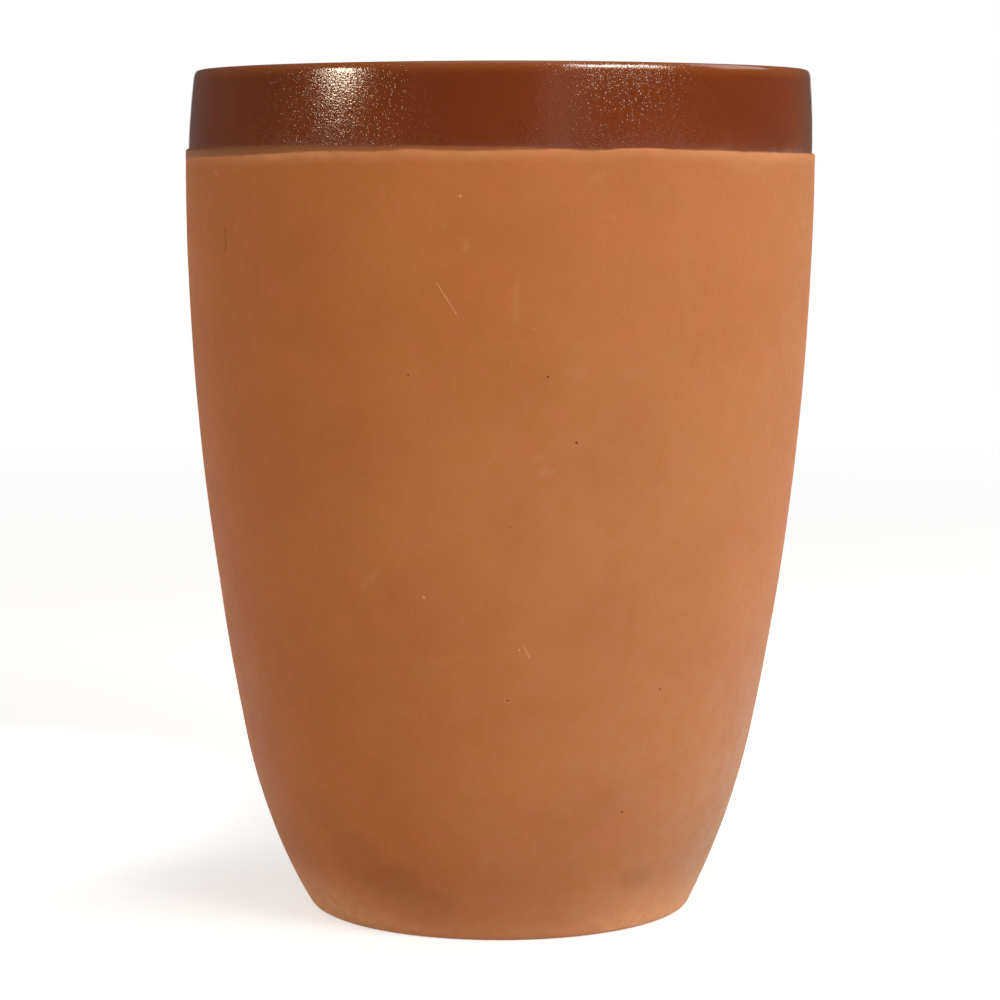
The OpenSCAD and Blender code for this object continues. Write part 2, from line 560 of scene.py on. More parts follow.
# The glaze's finish: how rough it is and how much duller where it is thin, its crinkle, and small round
# bumps, one to some of its cells, with the share of a cell that they reach over
GLAZE_FINISH = {"Specular IOR Level": 0.7}
GLOSS_CLOUDS, GLOSS = 2 * MM, (0.09, 0.13)
DULL_RANGE, DULL_MOST = (0.4, 0.9), 0.5
CRINKLE_SIZE, CRINKLE_DETAIL, CRINKLE_DEPTH = 0.26 * MM, 1.5, 0.07 * MM
BUMP_CELLS, BUMP_PICK, BUMP_EDGE, BUMP_DEPTH = 0.33 * MM, (0.3, 0.4), 0.38, 0.028 * MM


def glaze_material(name, tones):
    """Glossy brown glaze with a fine crinkle, duller and paler where it runs thin and washes out."""
    material, g, shader = new_material(name, GLAZE_FINISH)
    dark, light, thin, washed = (colour(*tone) for tone in tones)
    tone = g.mixed(g.ranged(g.noise(GLAZE_CLOUDS), *NOISE_MIDDLE), dark, light)
    grain = g.ranged(g.noise(GLAZE_GRAIN), *GLAZE_GRAIN_RANGE, 0, GLAZE_GRAIN_SHARE)
    tone = g.mixed(grain, tone, light)
    film = g.attribute("film")
    tone = g.mixed(g.ranged(film, 0, HALF_THIN), tone, thin)
    tone = g.mixed(g.ranged(film, HALF_THIN, 1), tone, washed)
    g.links.new(tone, shader.inputs["Base Color"])
    gloss = g.ranged(g.noise(GLOSS_CLOUDS), *NOISE_MIDDLE, *GLOSS)
    dullness = g.ranged(film, *DULL_RANGE, 0, DULL_MOST)
    g.links.new(g.math("ADD", gloss, dullness), shader.inputs["Roughness"])
    wrinkles = g.noise(CRINKLE_SIZE, CRINKLE_DETAIL)
    crinkle = g.bump(wrinkles, CRINKLE_DEPTH, strength=g.attribute("crinkle"))
    cells = g.cells(BUMP_CELLS)
    picked = g.ranged(cells.outputs["Color"], *BUMP_PICK)
    bumps = g.math("MULTIPLY", picked, g.ranged(cells.outputs["Distance"], BUMP_EDGE, 0))
    g.links.new(g.bump(bumps, BUMP_DEPTH, crinkle, g.attribute("sparkle")), shader.inputs["Normal"])
    return material


# The clay body

EDGE_ROUNDING = 0.12 * MM
EDGE_BAND = 1.5 * MM
COAT_TAPER = 0.8 * MM

# Sponged unevenness of the outside: heights and sizes in millimetres and seeds. Then the spiral that the
# trimming tool left below
CLAY_RIPPLES = [(0.05, 14, 1), (0.015, 4, 2)]
RING_PITCH = 3.2 * MM
RING_DEPTH = 0.16 * MM

# Marks on the side that the photograph shows: angle in degrees and height in millimetres, then sizes in
# millimetres (the radius of a pit or pale fleck, a patch's half width and half height, the half width of a
# crack, scratch or streak) and a strength
PITS = [
    (-15.8, 85.75, 0.15), (8.3, 85.6, 0.17), (13.6, 76.1, 0.2), (1.9, 64.1, 0.1), (1.8, 38.4, 0.15),
    (34.7, 38.9, 0.15), (29.1, 20.3, 0.16),
]
FLECKS = [(-6.6, 111.1, 0.2), (-14.2, 53.6, 0.2), (3.9, 46.0, 0.16)]
CRACKS = [([(-56.5, 106.3), (-56.6, 105.4), (-56.4, 104.0), (-56.6, 102.7)], 0.13, 0.55)]
SCRATCHES = [
    ([(-10.5, 98.9), (-9.1, 97.0), (-7.2, 94.5)], 0.075, 0.65),
    ([(4.9, 46.4), (5.5, 45.5), (6.0, 44.8)], 0.1, 0.51),
]
STREAKS = [
    ([(32.8, 110), (33.4, 101), (34.6, 92), (35.7, 83)], 1.2, 0.08),
    ([(45.5, 106), (46.2, 95), (46.6, 86)], 1.2, 0.04),
    ([(2.6, 99.5), (2.9, 96.2), (2.3, 92)], 0.35, 0.10),
    ([(2.0, 55), (3.4, 50.5), (4.3, 46)], 0.4, 0.1),
    ([(-27, 54.5), (-24.5, 56.2), (-23, 57)], 0.35, 0.2),
    ([(-6.2, 105.6), (-5.2, 103)], 0.25, 0.15),
    ([(-1.5, 81.4), (0.8, 81.2)], 0.2, 0.3),
    ([(37.8, 35.7), (38.2, 31.8), (38.6, 28.2)], 0.35, 0.18),
]
PALE_PATCHES = [
    (42.5, 30.1, 0.6, 0.15, 0.4), (8.0, 72.3, 1.5, 0.7, 0.3), (6.6, 73.6, 0.8, 0.5, 0.25),
    (-9.6, 44.5, 0.6, 0.2, 0.5), (-2.6, 13.9, 1.5, 0.9, 0.17), (54.8, 4.5, 1.1, 1.3, 0.3),
    (15.0, 24, 2.2, 3.4, 0.14), (-9.5, 106.5, 0.3, 0.3, 0.3), (13.0, 86, 2.2, 1.6, 0.12),
    (24, 86, 2.6, 0.8, 0.12), (16.4, 113.8, 0.5, 0.8, 0.12), (22.5, 33, 0.5, 0.4, 0.2),
    (50, 115.4, 7, 1.2, 0.14),
]
# Dark patches: the first is painted shade over the lower front wall, the other low ones darken the wall
# just above the heel, and the small ones high up are stains
STAINS_AND_SHADE = [
    (6, 14, 9, 9, 0.06), (38.4, 9, 3, 1.8, 0.18), (-30, 9.2, 6.5, 3, 0.19), (-22, 7, 6, 2.2, 0.16),
    (-38, 13.5, 5, 3.6, 0.15), (-45, 19, 4.5, 3.5, 0.10), (11, 97.5, 0.5, 0.4, 0.12),
    (4.5, 92, 0.6, 0.4, 0.10), (30, 112, 0.7, 0.4, 0.12), (-13, 98, 0.5, 0.4, 0.12),
]

# How the marks fade at their edges, in shares of their sizes, how strong a fleck is, and how deep they go
PIT_EDGE, FLECK_EDGE, PATH_EDGE, PATCH_EDGE = 1.3, 1.4, 1.4, 1.5
FLECK_STRENGTH = 0.75
PIT_DEPTH = 0.18 * MM
SCRATCH_DEPTH = 0.05 * MM
ON_AXIS = 1e-9

# The mesh is cut finer twice, within these distances of round marks and of cracks and scratches
REFINE_REACHES = [(0.7 * MM, 1.0 * MM), (0.2 * MM, 0.35 * MM)]
REFINE_CUTS = 3

# The far side has marks of the same kinds, scattered at random between these angles: how many, between
# which heights, and the ranges of the same sizes and strengths, after a streak's lean, drop and bend
FAR_SIDE = (64, 292)
FAR_SEED = 11
FAR_PITS = 13, (12, 112), (0.2, 0.36)
FAR_PATCHES = 22, (6, 113), (0.3, 2.4), (0.3, 1.4), (0.08, 0.3)
FAR_STAINS = 10, (6, 112), (0.5, 3), (0.4, 1.6), (0.1, 0.3)
FAR_STREAKS = 11, (25, 104), (-3, 3), (3, 16), (-0.6, 0.6), (0.2, 0.7), (0.06, 0.25)

# Pale haze, partly painted sheen of light from the right and from the floor on the right side and the lower
# wall: how it grows down the wall between two heights in millimetres, and where round the cup it is
# thickest at the top, over the wall and towards the foot
HAZE_AND_SHEEN_BELOW, HAZE_AND_SHEEN_FULL = 106, 66
TOP_HAZE_AND_SHEEN = [(-150, 0.04), (-90, 0), (0, 0), (30, 0.02), (60, 0.07), (90, 0.08), (130, 0.04)]
WALL_HAZE_AND_SHEEN = [
    (-150, 0.10), (-90, 0.02), (-40, 0.02), (-10, 0.07), (25, 0.12), (70, 0.12), (130, 0.08),
]
FOOT_HAZE_AND_SHEEN_BELOW = 62
FOOT_HAZE_AND_SHEEN = [
    (-150, 0.10), (-100, 0.16), (-72, 0.13), (-45, 0), (0, 0.02), (30, 0.09), (52, 0.26), (75, 0.52),
    (110, 0.3), (150, 0.12),
]

# Worn, paler clay round the heel with painted light from the floor, and more of both along its edge,
# below these heights in millimetres
HEEL_WEAR_AND_LIGHT_BELOW = 11
HEEL_WEAR_AND_LIGHT = [
    (-150, 0.5), (-110, 0.8), (-75, 0.9), (-52, 0.85), (-30, 0.40), (-10, 0.20), (12, 0.17),
    (34, 0.55), (55, 0.7), (85, 0.65), (120, 0.35), (155, 0.7),
]
HEEL_EDGE_WEAR_AND_LIGHT, HEEL_EDGE_BELOW = 0.25, 4

# Thin film of glaze that has run over the ledge and down the wall: how far down it reaches and how soft its
# end is, in millimetres, and its strength at the top and at its end. Then a painted highlight along the
# shoulder's edge just below it
FILM_REACH = [
    (-150, 0.6), (-110, 1.3), (-75, 1.45), (-55, 1.40), (-46, 1.25), (-38, 1.0), (-30, 0.76),
    (-20, 0.72), (-15, 0.47), (-10, 0.60), (-5, 0.65), (0, 0.53), (5, 0.46), (10, 0.12), (15, 0.36),
    (21, 0.06), (39, 0.20), (46, 0.08), (75, 0.05), (120, 0.50), (160, 0.30),
]
FILM_LEAST_REACH = 0.03
FILM_STRENGTH = (0.95, 0.62)
FILM_EDGE = 0.3
SHOULDER_HIGHLIGHT = [
    (-90, 0.08), (-62, 0.2), (-34, 0.46), (-18, 0.28), (0, 0.32), (20, 0.26), (47, 0.38), (90, 0.22),
    (150, 0.20),
]
SHOULDER_HIGHLIGHT_REACH = 2


def scattered(chance, count, heights, *ranges):
    """Random spots on the far side: angle, height, and a value from each range."""
    angles = chance.uniform(*FAR_SIDE, count)
    levels = chance.uniform(*heights, count)
    return [
        (angle, level, *(chance.uniform(*span) for span in ranges))
        for angle, level in zip(angles, levels)
    ]


def far_side_marks():
    """Random marks for the sides and back, the same on every run."""
    chance = np.random.default_rng(FAR_SEED)
    pits = scattered(chance, *FAR_PITS)
    patches = scattered(chance, *FAR_PATCHES)
    stains = scattered(chance, *FAR_STAINS)
    streaks = []
    for angle, level, lean, drop, bend, width, most in scattered(chance, *FAR_STREAKS):
        halfway = (angle + lean / 2 + bend, level - drop / 2)
        run = [(angle, level), halfway, (angle + lean, level - drop)]
        streaks.append((run, width, most))
    return pits, patches, stains, streaks


def clay_section():
    """Section from the middle of the underside, out and up over the shoulder and back to the middle inside.
    Also gives each point's share of the outside's relief."""
    dish_curve = (DISH_R ** 2 + DISH_DEPTH ** 2) / (2 * DISH_DEPTH)
    dish_end = math.pi / 2 - math.asin(DISH_R / dish_curve)
    wall = turned_wall(0, HEEL_CENTRE, HEEL_RADIUS, WALL_STEP, HEEL_STEP)
    ledge_z = GLAZE_Z - LEDGE_HEIGHT
    seen = joined(
        arc((0, DISH_DEPTH - dish_curve), dish_curve, math.pi / 2, dish_end, DISH_STEP),
        line((DISH_R, 0), (FOOT_R, 0), FOOT_STEP),
        wall[wall[:, 1] < SHOULDER_Z - EDGE_BAND],
        line((BELLY_R, SHOULDER_Z - EDGE_BAND), (BELLY_R, ledge_z - EDGE_ROUNDING), EDGE_STEP),
        line((BELLY_R - EDGE_ROUNDING / 2, ledge_z), (LIP_BASE_R, GLAZE_Z), EDGE_STEP),
    )
    hidden = joined(
        [seen[-1]],
        lip_side(GLAZE, GLAZE_Z + COAT_TAPER, HIDDEN_STEP),
        rim_over(GLAZE, HIDDEN_RIM_STEP),
        inner_wall(0, HIDDEN_STEP)[::-1],
    )
    section = joined(seen, hidden)
    share = np.where(np.arange(len(section)) < len(seen), 1.0, 0.0)
    share *= 1 - eased((section[:, 1] - SHOULDER_Z + EDGE_BAND) / EDGE_BAND)
    share *= np.where(section[:, 0] < DISH_R, 1, eased(section[:, 1] / HEEL_RADIUS))
    return section, share


def trimming_rings(radii, angles):
    """Depth of the spiral that the trimming tool left in the dish of the underside."""
    turns = radii / RING_PITCH - angles / (2 * math.pi)
    fade = eased(radii / RING_PITCH) * eased((DISH_R - radii) / RING_PITCH)
    return RING_DEPTH * fade * (0.5 - 0.5 * np.cos(2 * math.pi * turns)) ** 2


def turned_clay(material):
    """The clay with its sponged outside and the spiral below, before its marks."""
    section, share = clay_section()
    angles = columns_of(CLAY_COLUMNS)
    points = turned(section, angles)
    relief = np.zeros(points.shape[:2])
    rows = share > 0
    relief[:, rows] = ripples(points[:, rows], CLAY_RIPPLES) * share[rows]
    below = (section[:, 0] < DISH_R) & (section[:, 1] < FLOOR_THICKNESS / 2)
    relief[:, below] -= trimming_rings(section[below, 0], angles)
    return vessel_mesh("cup_clay", pushed(points, section, angles, relief), material)


def on_wall(degrees, height):
    """Point of the outer wall at this angle in degrees and this height in millimetres."""
    z = height * MM
    if z < HIP_HEIGHT:
        radius = HIP_CENTRE[0] + math.sqrt(HIP_CURVE ** 2 - (HIP_CENTRE[1] - z) ** 2)
    else:
        radius = BELLY_CENTRE[0] + math.sqrt(BELLY_CURVE ** 2 - (SHOULDER_Z - z) ** 2)
    return placed(np.array(radius), np.array(z), np.array(math.radians(degrees)))


def spots_on_wall(spots):
    """Places and radii of round marks, in metres."""
    return [(on_wall(degrees, height), size * MM) for degrees, height, size in spots]


def paths_on_wall(marks):
    """Runs of places, half widths in metres and strengths of long marks."""
    return [([on_wall(*spot) for spot in run], width * MM, most) for run, width, most in marks]


def from_path(points, run):
    """Distance from each point to a run of places."""
    nearest = np.full(len(points), np.inf)
    for start, end in zip(run[:-1], run[1:]):
        along = end - start
        share = np.clip((points - start) @ along / (along @ along), 0, 1)
        apart = points - start - share[:, None] * along
        nearest = np.minimum(nearest, np.linalg.norm(apart, axis=1))
    return nearest


def spots_at(points, spots, edge):
    """Strength from 0 to 1 of round marks at these points."""
    strength = np.zeros(len(points))
    for centre, size in spots:
        apart = np.linalg.norm(points - centre, axis=1)
        strength = np.maximum(strength, eased(edge - apart / size))
    return strength


def paths_at(points, paths):
    """Strength of long marks at these points."""
    strength = np.zeros(len(points))
    for run, width, most in paths:
        strength = np.maximum(strength, most * eased(PATH_EDGE - from_path(points, run) / width))
    return strength


def patches_at(points, angles, patches):
    """Strength of soft oval patches at these points and their angles."""
    strength = np.zeros(len(points))
    radii, heights = np.hypot(points[:, 0], points[:, 1]) / MM, points[:, 2] / MM
    for degrees, height, half_width, half_height, most in patches:
        round_way = (np.degrees(angles) - degrees + 180) % 360 - 180
        across = np.radians(round_way) * radii / half_width
        up = (heights - height) / half_height
        strength = np.maximum(strength, most * eased(PATCH_EDGE - np.hypot(across, up)))
    return strength


def refine(piece, spots, spot_reach, paths, path_reach):
    """Cuts the faces near these round and long marks into smaller ones."""
    mesh = bmesh.new()
    mesh.from_mesh(piece.data)
    mesh.faces.ensure_lookup_table()
    middles = np.array([face.calc_center_median() for face in mesh.faces])
    near = np.min([from_path(middles, run) for run, _, _ in paths], axis=0) < path_reach
    for centre, size in spots:
        near |= np.linalg.norm(middles - centre, axis=1) < size + spot_reach
    picked = [mesh.faces[index] for index in np.nonzero(near)[0]]
    edges = list(dict.fromkeys(edge for face in picked for edge in face.edges))
    bmesh.ops.subdivide_edges(mesh, edges=edges, cuts=REFINE_CUTS, use_grid_fill=True)
    mesh.to_mesh(piece.data)
    mesh.free()
    piece.data.shade_smooth()


def sink(piece, points, depths):
    """Moves the points of a piece in towards its axis by these depths."""
    inward = -points * np.array([1, 1, 0])
    inward /= np.maximum(np.linalg.norm(inward, axis=1), ON_AXIS)[:, None]
    piece.data.vertices.foreach_set("co", (points + inward * depths[:, None]).ravel())
    piece.data.update()


def haze_and_sheen_at(angles, heights):
    """Strength of the pale haze and painted sheen at these angles and heights in millimetres."""
    down_wall = eased((HAZE_AND_SHEEN_BELOW - heights) / (HAZE_AND_SHEEN_BELOW - HAZE_AND_SHEEN_FULL))
    haze_and_sheen = through(TOP_HAZE_AND_SHEEN, angles) * (1 - down_wall) + through(WALL_HAZE_AND_SHEEN, angles) * down_wall
    return haze_and_sheen + through(FOOT_HAZE_AND_SHEEN, angles) * eased((FOOT_HAZE_AND_SHEEN_BELOW - heights) / FOOT_HAZE_AND_SHEEN_BELOW)


def heel_wear_and_light_at(angles, heights):
    """Strength of the worn clay and of the painted light from the floor round the heel."""
    wear_and_light = through(HEEL_WEAR_AND_LIGHT, angles) * eased(1 - heights / HEEL_WEAR_AND_LIGHT_BELOW)
    return wear_and_light + HEEL_EDGE_WEAR_AND_LIGHT * eased(1 - heights / HEEL_EDGE_BELOW)


def film_and_highlight(angles, heights):
    """Strength of the film of glaze on the top of the wall, and of the painted highlight on the shoulder's
    edge below it.
    """
    drop = GLAZE_Z / MM + glaze_line(angles) - heights
    reach = np.maximum(through(FILM_REACH, angles), FILM_LEAST_REACH)
    past = (drop - reach) / FILM_EDGE + 0.5
    film = np.interp(drop / reach, (0, 1), FILM_STRENGTH) * (1 - eased(past))
    # Painted highlight along the shoulder's edge, below the film
    wear_and_light = through(SHOULDER_HIGHLIGHT, angles) * eased(past) * (1 - eased((drop - reach) / SHOULDER_HIGHLIGHT_REACH))
    return film, wear_and_light


def make_clay_body(material):
    """The clay with its pits, cracks and scratches, and how strong each kind of mark is over it."""
    piece = turned_clay(material)
    far_pits, far_patches, far_stains, far_streaks = far_side_marks()
    pits, flecks = spots_on_wall(PITS + far_pits), spots_on_wall(FLECKS)
    cracks, scratches = paths_on_wall(CRACKS), paths_on_wall(SCRATCHES)
    streaks = paths_on_wall(STREAKS + far_streaks)
    for spot_reach, path_reach in REFINE_REACHES:
        refine(piece, pits + flecks, spot_reach, cracks + scratches, path_reach)

    points = coordinates(piece)
    angles, heights = np.arctan2(points[:, 0], -points[:, 1]), points[:, 2] / MM
    hollow = np.maximum(spots_at(points, pits, PIT_EDGE), paths_at(points, cracks))
    scratched = paths_at(points, scratches)
    flecked = FLECK_STRENGTH * spots_at(points, flecks, FLECK_EDGE)
    streaked = paths_at(points, streaks)
    patched = patches_at(points, angles, PALE_PATCHES + far_patches)
    film, shoulder_highlight = film_and_highlight(angles, heights)
    heel_wear_and_light = heel_wear_and_light_at(angles, heights)
    sink(piece, points, PIT_DEPTH * hollow + SCRATCH_DEPTH * scratched)
    # Painted shade in pits and cracks
    set_attribute(piece, "hollow", hollow)
    # Haze, streaks and pale patches, with painted sheen on the right side and the lower wall
    set_attribute(piece, "haze_and_sheen", np.max([haze_and_sheen_at(angles, heights), streaked, patched], axis=0))
    set_attribute(piece, "film", film)
    # Wear, scratches and flecks, with painted light on the heel and a painted highlight along the
    # shoulder's edge
    set_attribute(piece, "wear_and_light", np.max([heel_wear_and_light, shoulder_highlight, scratched, flecked], axis=0))
    # Stains, and painted shade low on the wall
    set_attribute(piece, "stain_and_shade", patches_at(points, angles, STAINS_AND_SHADE + far_stains))
    return piece


# The coat of glaze over the lip

# How far it reaches down behind the ledge and how thin it is there, and its soft ripples, which fade out
# towards the rim: heights and sizes in millimetres and seeds
SUNK = 0.3 * MM
SUNK_THIN = 0.2
GLAZE_RIPPLES = [(0.02, 5, 5), (0.006, 1.8, 6)]
RIPPLE_FADE = 1 * MM

# Round the lip: where its crinkle is strong, and how much of that is left at the lower edge
CRINKLE_ROUND = [
    (-150, 0.5), (-100, 0.4), (-62, 0.2), (-46, 0.38), (-38, 0.4), (-24, 0.4), (-14, 0.36), (0, 0.3),
    (8, 0.5), (15, 0.85), (31, 0.85), (42, 0.25), (65, 0.2), (110, 0.6), (150, 0.8),
]
CRINKLE_FOOT = [
    (-90, 0), (-60, 0), (-48, 0.3), (-41, 0.95), (-22, 0.95), (-14, 0.3), (-4, 0), (10, 0.08),
    (18, 0.22), (32, 0.22), (42, 0), (120, 0),
]

# Where the rim is smoother, and from which share of the lip's height on
RIM_SMOOTH = [(-150, 0.3), (-60, 0.35), (-14, 0.35), (4, 0.6), (42, 0.6), (90, 0.3)]
RIM_SMOOTH_FROM, RIM_SMOOTH_FULL = 0.84, 0.93

# Where its small round bumps are strong, and the share of that at the lower edge
SPARKLE_ROUND = [
    (-150, 0.6), (-100, 0.3), (-62, 0.05), (-52, 0.4), (-44, 0.8), (-16, 0.8), (-10, 0.4), (-4, 0.1),
    (4, 0.45), (12, 0.7), (32, 0.7), (40, 0.4), (48, 0.05), (80, 0.02), (110, 0.4), (150, 0.8),
]
SPARKLE_FOOT = 0.8

# Where it is thin, which shows most at its lower edge, and how thin it is over the rim
THIN_ROUND = [
    (-150, 0.1), (-95, 0.18), (-80, 0.18), (-70, 0.1), (-60, 0.02), (-50, 0), (55, 0), (68, 0.05),
    (80, 0.1), (110, 0.1),
]
RIM_THIN, RIM_THIN_FROM = 0.4, 0.8


def make_rim_glaze(material):
    """The coat from behind the ledge over the rim, and how thin, crinkled and bumpy it is."""
    angles = columns_of(GLAZE_COLUMNS)
    sunk_end = line((LIP_BASE_R, GLAZE_Z - SUNK), (LIP_BASE_R, GLAZE_Z), SUNK / 2)
    outside = joined(sunk_end, lip_side(0, GLAZE_Z, LIP_STEP), rim_over(0, LIP_STEP))
    inside = joined(
        lip_side(GLAZE, GLAZE_Z + COAT_TAPER, HIDDEN_LIP_STEP),
        rim_over(GLAZE, HIDDEN_RIM_STEP),
    )[::-1]
    coat = turned(outside, angles)
    below_top = eased((HEIGHT - outside[:, 1]) / RIPPLE_FADE) * (outside[:, 0] > MOUTH_R + GLAZE)
    coat = pushed(coat, outside, angles, ripples(coat, GLAZE_RIPPLES) * below_top)
    points = np.concatenate([coat, turned(inside, angles)], axis=1)
    piece = ring_mesh("rim_glaze_coat", points, material)

    up_lip = np.zeros(points.shape[1])
    up_lip[:len(outside)] = np.clip((outside[:, 1] - GLAZE_Z) / (HEIGHT - GLAZE_Z), 0, 1)
    thin = np.maximum(through(THIN_ROUND, angles), 0) * (2 - up_lip)
    thin = np.maximum(thin, RIM_THIN * eased((up_lip - RIM_THIN_FROM) / (1 - RIM_THIN_FROM)))
    sunk_rows = len(sunk_end)
    thin[:, :sunk_rows] = np.maximum(thin[:, :sunk_rows], SUNK_THIN)
    foot_share = np.maximum(through(CRINKLE_FOOT, angles), 0)
    crinkle = through(CRINKLE_ROUND, angles) * (foot_share + (1 - foot_share) * up_lip ** 2)
    near_rim = eased((up_lip - RIM_SMOOTH_FROM) / (RIM_SMOOTH_FULL - RIM_SMOOTH_FROM))
    crinkle *= 1 - through(RIM_SMOOTH, angles) * near_rim
    sparkle = through(SPARKLE_ROUND, angles) * (SPARKLE_FOOT + (1 - SPARKLE_FOOT) * up_lip)
    for name, values in (("film", thin), ("crinkle", crinkle), ("sparkle", sparkle)):
        set_attribute(piece, name, values.reshape(-1))
    return piece


# The coat of glaze inside

# Rings that fingers left up the wall, which wander a little and fade out towards the lip
THROWING_PITCH = 5.5 * MM
THROWING_DEPTH = 0.14 * MM
THROWING_FADE = 8 * MM
WANDER, WANDER_RISE = 0.8, 9 * MM

# The swirl across the floor and the button at its middle
SWIRL_PITCH = 4.2 * MM
SWIRL_DEPTH = 0.16 * MM
BUTTON_HEIGHT = 0.35 * MM
BUTTON_RADIUS = 4 * MM

# Soft ripples, how thin the glaze is on the rings, and how strong its crinkle and bumps are
LINING_RIPPLES = [(0.03, 9, 8)]
RIDGE_THIN = 0.3
LINING_BUMPS = 0.4


def lining_relief(section, points, angles):
    """Fingers' rings up the wall, a swirl across the floor with a button, and soft ripples."""
    radii, heights = section[:, 0], section[:, 1]
    up_cove = eased((heights - FLOOR_THICKNESS) / COVE_RADIUS)
    up_wall = up_cove * eased((SHOULDER_Z - heights) / THROWING_FADE)
    wander = WANDER * np.sin(2 * angles + heights / WANDER_RISE)
    rings = np.cos(2 * math.pi * heights / THROWING_PITCH - angles + wander)
    swirl = np.cos(2 * math.pi * radii / SWIRL_PITCH - angles) * eased(radii / SWIRL_PITCH)
    button = BUTTON_HEIGHT * np.exp(-((radii / BUTTON_RADIUS) ** 2))
    relief = THROWING_DEPTH * up_wall * rings + (1 - up_cove) * (SWIRL_DEPTH * swirl + button)
    return relief + ripples(points, LINING_RIPPLES)


def make_lining_glaze(material):
    """The coat inside, from its covered side over the clay to the side that shows."""
    angles = columns_of(LINING_COLUMNS)
    seen = inner_wall(GLAZE, LINING_STEP)[::-1]
    coat = turned(seen, angles)
    relief = lining_relief(seen, coat, angles)
    shown = pushed(coat, seen, angles, relief)[:, 1:]
    covered = turned(inner_wall(0, HIDDEN_STEP), angles)
    piece = vessel_mesh("inside_glaze_coat", np.concatenate([covered, shown], axis=1), material)
    ridge = eased(relief[:, 1:] / THROWING_DEPTH)
    thin = np.concatenate([np.zeros(covered.shape[:2]), RIDGE_THIN * ridge], axis=1)
    set_attribute(piece, "film", np.concatenate([thin[:, 1:-1].reshape(-1), [0, 0]]))
    for bumps in ("crinkle", "sparkle"):
        set_attribute(piece, bumps, np.full(len(piece.data.vertices), LINING_BUMPS))
    return piece


# Floor, light and camera

# Camera of the photograph, in metres and pixels
CAMERA_PLACE = Vector((0, -0.4947, 0.1141))
CAMERA_AIM = Vector((0, 0, 0.0633))
FOCAL_PIXELS = 3170
PICTURE_PIXELS = 1000
SENSOR_WIDTH = 36

# Floor, backdrop and room: tones and strengths from 0 to 1, lengths in metres. The room's light grows
# between two directions, given by how far they point up
FLOOR_HALF_WIDTH = 12
PAPER_TONE = 0.65
PAPER_FINISH = {
    "Base Color": (PAPER_TONE, PAPER_TONE, PAPER_TONE, 1),
    "Roughness": 0.9,
    "Specular IOR Level": 0.1,
}
FLOOR_GLOW = 0.6
SHADOW_REACH = (0.3, 0.9)
BACKDROP_DISTANCE = 4
BACKDROP_WIDTH = 1.8
BACKDROP_HEIGHT = 0.8
ROOM_LIGHT = (0.11, 0.22)
ROOM_RISE = (0.25, 0.7)

# Soft boxes: bearing from the camera's side and height above the horizon in degrees, distance, width and
# length in metres, power in watts and tint
WHITE = (1, 1, 1)
WARM = (1, 0.88, 0.67)
CREAM = (1, 0.965, 0.92)
SOFT_BOXES = {
    "key_box": (45, 32, 1.3, 0.76, 0.42, 8, CREAM),
    "key_box_middle": (45, 32, 1.29, 0.64, 0.2, 4, CREAM),
    "left_lamp": (-60.5, 19, 1.3, 0.26, 0.16, 4.4, WARM),
    "side_box": (105, 36, 1.2, 0.6, 0.6, 2.3, WHITE),
    "top_box": (0, 74, 1.2, 1.0, 0.8, 1.6, WHITE),
    "front_card": (22, 5, 1.4, 0.2, 0.5, 0.03, WHITE),
    "front_card_wide": (22, 5, 1.41, 0.35, 0.6, 0.06, WHITE),
    "front_card_widest": (22, 5, 1.42, 0.5, 0.7, 0.1, WHITE),
}

# Lamps low over the floor beside the cup: place in metres, spread in degrees and power in watts
WASH_HEIGHT = 0.3
WASH_WIDTH = 0.05
FLOOR_WASHES = {
    "right_wash": (0.25, -0.02, 60, 0.22),
    "right_glow": (0.13, 0.07, 30, 0.2),
    "left_glow": (-0.13, 0.07, 30, 0.09),
}


def seen_rays(g):
    """1 for rays that show the background: those from the camera, off gloss and through glass."""
    path = g.node("ShaderNodeLightPath")
    seen = path.outputs["Is Camera Ray"]
    for kind in ("Is Glossy Ray", "Is Transmission Ray"):
        seen = g.math("MAXIMUM", seen, path.outputs[kind])
    return seen


def show_white(g, share, surface):
    """Shows white paper in place of this surface, by this share."""
    white, both = g.node("ShaderNodeEmission"), g.node("ShaderNodeMixShader")
    g.links.new(share, both.inputs["Fac"])
    g.links.new(surface, both.inputs[1])
    g.links.new(white.outputs["Emission"], both.inputs[2])
    g.links.new(both.outputs["Shader"], g.nodes["Material Output"].inputs["Surface"])


def make_floor():
    """Pale floor that reads as white paper and keeps the cup's shadow."""
    corners = FLOOR_HALF_WIDTH * np.array([(-1, -1, 0), (1, -1, 0), (1, 1, 0), (-1, 1, 0)], float)
    material, g, shader = new_material("pale_floor", PAPER_FINISH)
    seen = seen_rays(g)
    away = g.node("ShaderNodeVectorMath", operation="LENGTH")
    g.links.new(g.place, away.inputs[0])
    glow, near = g.node("ShaderNodeEmission"), g.node("ShaderNodeAddShader")
    g.links.new(g.math("MULTIPLY", seen, FLOOR_GLOW), glow.inputs["Strength"])
    g.links.new(shader.outputs["BSDF"], near.inputs[0])
    g.links.new(glow.outputs["Emission"], near.inputs[1])
    far = g.ranged(away.outputs["Value"], *SHADOW_REACH)
    show_white(g, g.math("MULTIPLY", seen, far), near.outputs["Shader"])
    mesh_object("floor", corners, [[0, 1, 2, 3]], material)


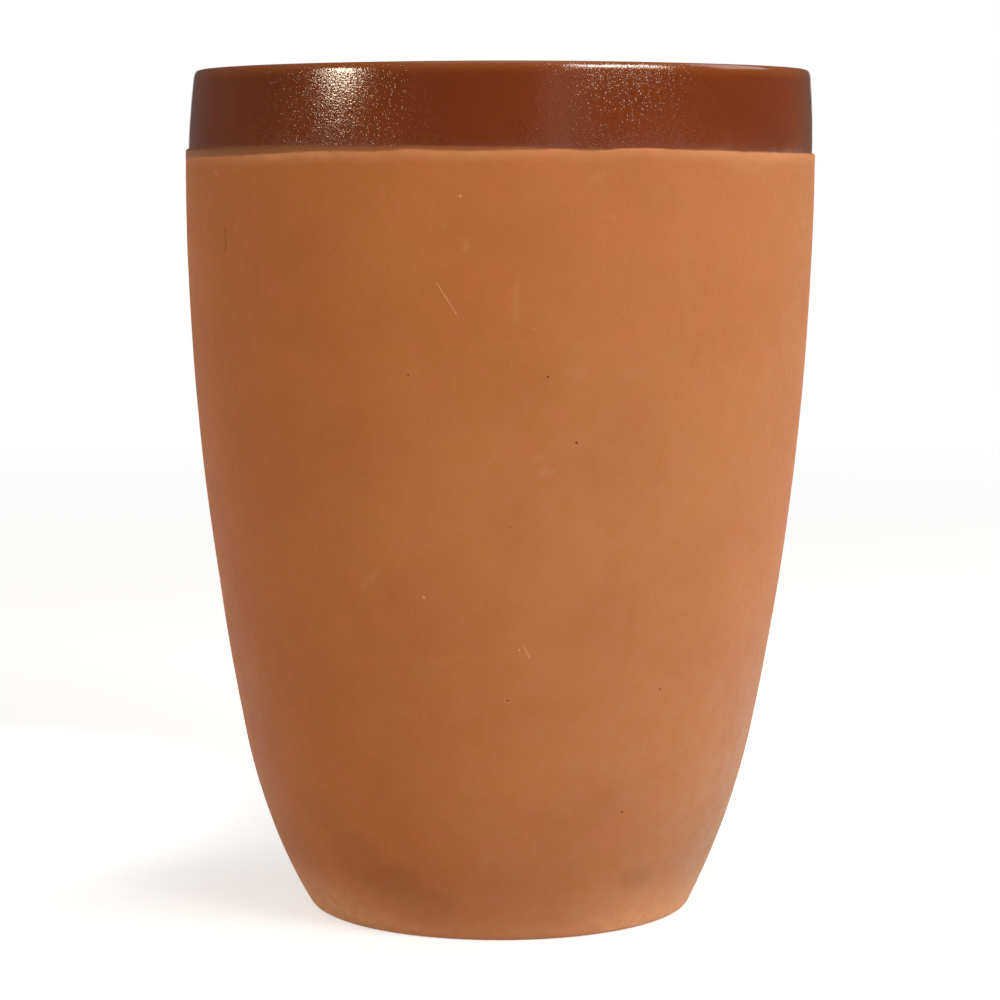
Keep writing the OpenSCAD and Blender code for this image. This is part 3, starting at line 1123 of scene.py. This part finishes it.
def make_backdrop():
    """White panel far behind the cup, just larger than the camera sees."""
    half, far, top = BACKDROP_WIDTH / 2, BACKDROP_DISTANCE, BACKDROP_HEIGHT
    corners = np.array([(-half, far, 0), (half, far, 0), (half, far, top), (-half, far, top)])
    material, g, shader = new_material("pale_backdrop", PAPER_FINISH)
    show_white(g, seen_rays(g), shader.outputs["BSDF"])
    mesh_object("backdrop", corners, [[0, 1, 2, 3]], material)


def make_world():
    """Dim light from the room, stronger from its ceiling."""
    world = bpy.data.worlds.new("room")
    world.use_nodes = True
    bpy.context.scene.world = world
    g = Graph(world.node_tree)
    background = g.nodes["Background"]
    background.inputs["Color"].default_value = (*WHITE, 1)
    direction = g.node("ShaderNodeSeparateXYZ")
    around = g.node("ShaderNodeTexCoord").outputs["Generated"]
    g.links.new(around, direction.inputs["Vector"])
    level = g.ranged(direction.outputs["Z"], *ROOM_RISE, *ROOM_LIGHT)
    g.links.new(level, background.inputs["Strength"])


def aimed(name, data, place, aim):
    """Lamp or camera at this place, turned towards a point."""
    holder = bpy.data.objects.new(name, data)
    holder.location = place
    holder.rotation_mode = "QUATERNION"
    holder.rotation_quaternion = (aim - place).to_track_quat("-Z", "Y")
    bpy.context.scene.collection.objects.link(holder)
    return holder


def area_lamp(name, place, aim, width, length, power, tint):
    lamp = bpy.data.lights.new(name, "AREA")
    lamp.shape = "RECTANGLE"
    lamp.size, lamp.size_y = width, length
    lamp.energy = power
    lamp.color = tint
    aimed(name, lamp, place, aim).visible_camera = False
    return lamp


def soft_box(name, bearing_degrees, height_degrees, distance, width, length, power, tint):
    """Soft box that faces the middle of the cup."""
    around, up = math.radians(bearing_degrees), math.radians(height_degrees)
    aim = Vector((0, 0, HEIGHT / 2))
    away = Vector((math.sin(around) * math.cos(up), -math.cos(around) * math.cos(up), math.sin(up)))
    area_lamp(name, aim + away * distance, aim, width, length, power, tint)


def floor_wash(name, x, y, spread, power):
    """Lamp that lights a patch of floor beside the cup and not the cup itself."""
    place, aim = Vector((x, y, WASH_HEIGHT)), Vector((x, y, 0))
    lamp = area_lamp(name, place, aim, WASH_WIDTH, WASH_WIDTH, power, WHITE)
    lamp.spread = math.radians(spread)


def make_camera():
    camera = bpy.data.cameras.new("camera")
    camera.sensor_width = SENSOR_WIDTH
    camera.lens = FOCAL_PIXELS / PICTURE_PIXELS * SENSOR_WIDTH
    bpy.context.scene.camera = aimed("camera", camera, CAMERA_PLACE, CAMERA_AIM)


make_camera()
make_world()
make_floor()
make_backdrop()
for name, values in SOFT_BOXES.items():
    soft_box(name, *values)
for name, values in FLOOR_WASHES.items():
    floor_wash(name, *values)

clay = make_clay_body(terracotta())
rim = make_rim_glaze(glaze_material("brown_glaze", RIM_TONES))
lining = make_lining_glaze(glaze_material("lining_glaze", LINING_TONES))
for piece, stands_for, slot in (
    (clay, "clay_body", "terracotta"),
    (rim, "rim_glaze", "brown_glaze"),
    (lining, "lining_glaze", "lining_glaze"),
):
    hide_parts(stands_for)
    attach(piece, "root")

bpy.context.scene.view_settings.view_transform = "Standard"
